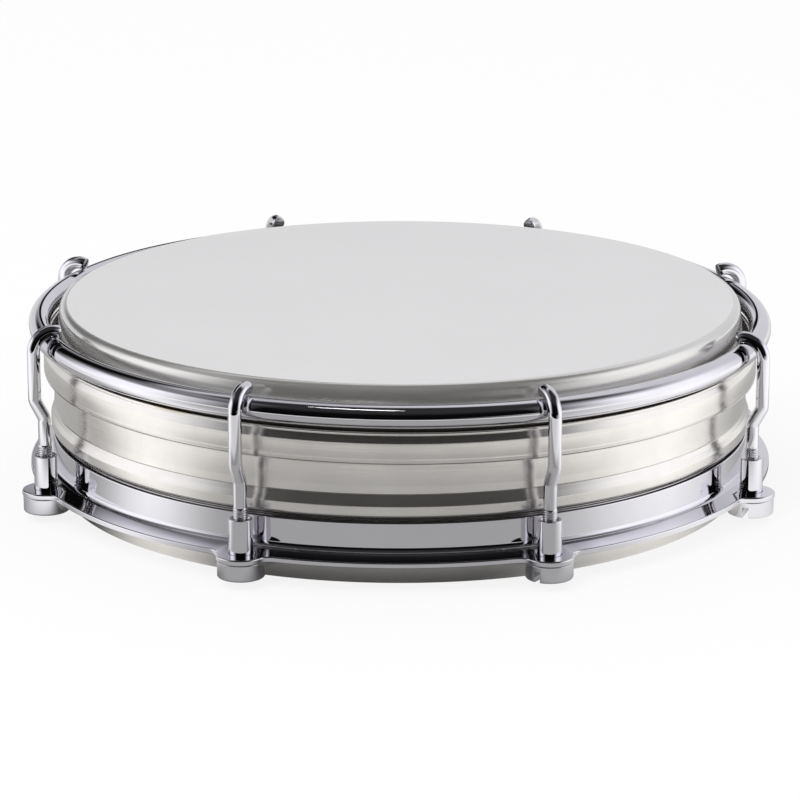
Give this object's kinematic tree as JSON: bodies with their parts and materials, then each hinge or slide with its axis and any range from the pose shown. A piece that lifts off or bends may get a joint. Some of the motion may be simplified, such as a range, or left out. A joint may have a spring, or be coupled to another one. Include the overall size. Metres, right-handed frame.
{
  "type": "tamborim",
  "caption": "Small shallow hand drum with a spun metal shell, white head and a rod counterhoop pulled down by hooks and slotted tube nuts on a tension ring.",
  "frame": {"origin": "centre of the drum on the plane of the shell's bottom rim", "axes": "+Z along the drum's axis, out of the playing face; +X between two hooks, on the picture's right; -Y towards the picture's viewer"},
  "size_m": [0.1634, 0.1634, 0.0418],
  "materials": {
    "shell": "satin",
    "tension_ring": "polished",
    "head_film": "coated",
    "flesh_hoop": "satin",
    "hoop_resin": "cast",
    "counterhoop": "polished",
    "hooks": "polished",
    "nuts": "polished"
  },
  "bodies": {
    "shell_body": {"shell": "shell", "tension_ring": "tension_ring", "head_film": "head_film"},
    "hoop_body": {"counterhoop": "counterhoop", "flesh_hoop": "flesh_hoop", "hoop_resin": "hoop_resin", "hook_1": "hooks", "hook_2": "hooks", "hook_3": "hooks", "hook_4": "hooks", "hook_5": "hooks", "hook_6": "hooks", "hook_7": "hooks", "hook_8": "hooks"},
    "nut_1_body": {"nut_1": "nuts"},
    "nut_2_body": {"nut_2": "nuts"},
    "nut_3_body": {"nut_3": "nuts"},
    "nut_4_body": {"nut_4": "nuts"},
    "nut_5_body": {"nut_5": "nuts"},
    "nut_6_body": {"nut_6": "nuts"},
    "nut_7_body": {"nut_7": "nuts"},
    "nut_8_body": {"nut_8": "nuts"}
  },
  "joints": [
    {"name": "nut_1_turn", "type": "hinge", "parent": "shell_body", "child": "nut_1_body", "pos_m": [0.07546, 0.03126, 0.00185], "axis": [0, 0, 1], "range_deg": [-1080, 720]},
    {"name": "nut_2_turn", "type": "hinge", "parent": "shell_body", "child": "nut_2_body", "pos_m": [0.03126, 0.07546, 0.00185], "axis": [0, 0, 1], "range_deg": [-1080, 720]},
    {"name": "nut_3_turn", "type": "hinge", "parent": "shell_body", "child": "nut_3_body", "pos_m": [-0.03126, 0.07546, 0.00185], "axis": [0, 0, 1], "range_deg": [-1080, 720]},
    {"name": "nut_4_turn", "type": "hinge", "parent": "shell_body", "child": "nut_4_body", "pos_m": [-0.07546, 0.03126, 0.00185], "axis": [0, 0, 1], "range_deg": [-1080, 720]},
    {"name": "nut_5_turn", "type": "hinge", "parent": "shell_body", "child": "nut_5_body", "pos_m": [-0.07546, -0.03126, 0.00185], "axis": [0, 0, 1], "range_deg": [-1080, 720]},
    {"name": "nut_6_turn", "type": "hinge", "parent": "shell_body", "child": "nut_6_body", "pos_m": [-0.03126, -0.07546, 0.00185], "axis": [0, 0, 1], "range_deg": [-1080, 720]},
    {"name": "nut_7_turn", "type": "hinge", "parent": "shell_body", "child": "nut_7_body", "pos_m": [0.03126, -0.07546, 0.00185], "axis": [0, 0, 1], "range_deg": [-1080, 720]},
    {"name": "nut_8_turn", "type": "hinge", "parent": "shell_body", "child": "nut_8_body", "pos_m": [0.07546, -0.03126, 0.00185], "axis": [0, 0, 1], "range_deg": [-1080, 720]},
    {"name": "hoop_slide", "type": "slide", "parent": "shell_body", "child": "hoop_body", "axis": [0, 0, 1], "range_m": [-0.001, 0.0015]}
  ],
  "couplings": [
    {"joint": "nut_1_turn", "follows": "hoop_slide", "rad_per_m": -12566},
    {"joint": "nut_2_turn", "follows": "hoop_slide", "rad_per_m": -12566},
    {"joint": "nut_3_turn", "follows": "hoop_slide", "rad_per_m": -12566},
    {"joint": "nut_4_turn", "follows": "hoop_slide", "rad_per_m": -12566},
    {"joint": "nut_5_turn", "follows": "hoop_slide", "rad_per_m": -12566},
    {"joint": "nut_6_turn", "follows": "hoop_slide", "rad_per_m": -12566},
    {"joint": "nut_7_turn", "follows": "hoop_slide", "rad_per_m": -12566},
    {"joint": "nut_8_turn", "follows": "hoop_slide", "rad_per_m": -12566}
  ]
}
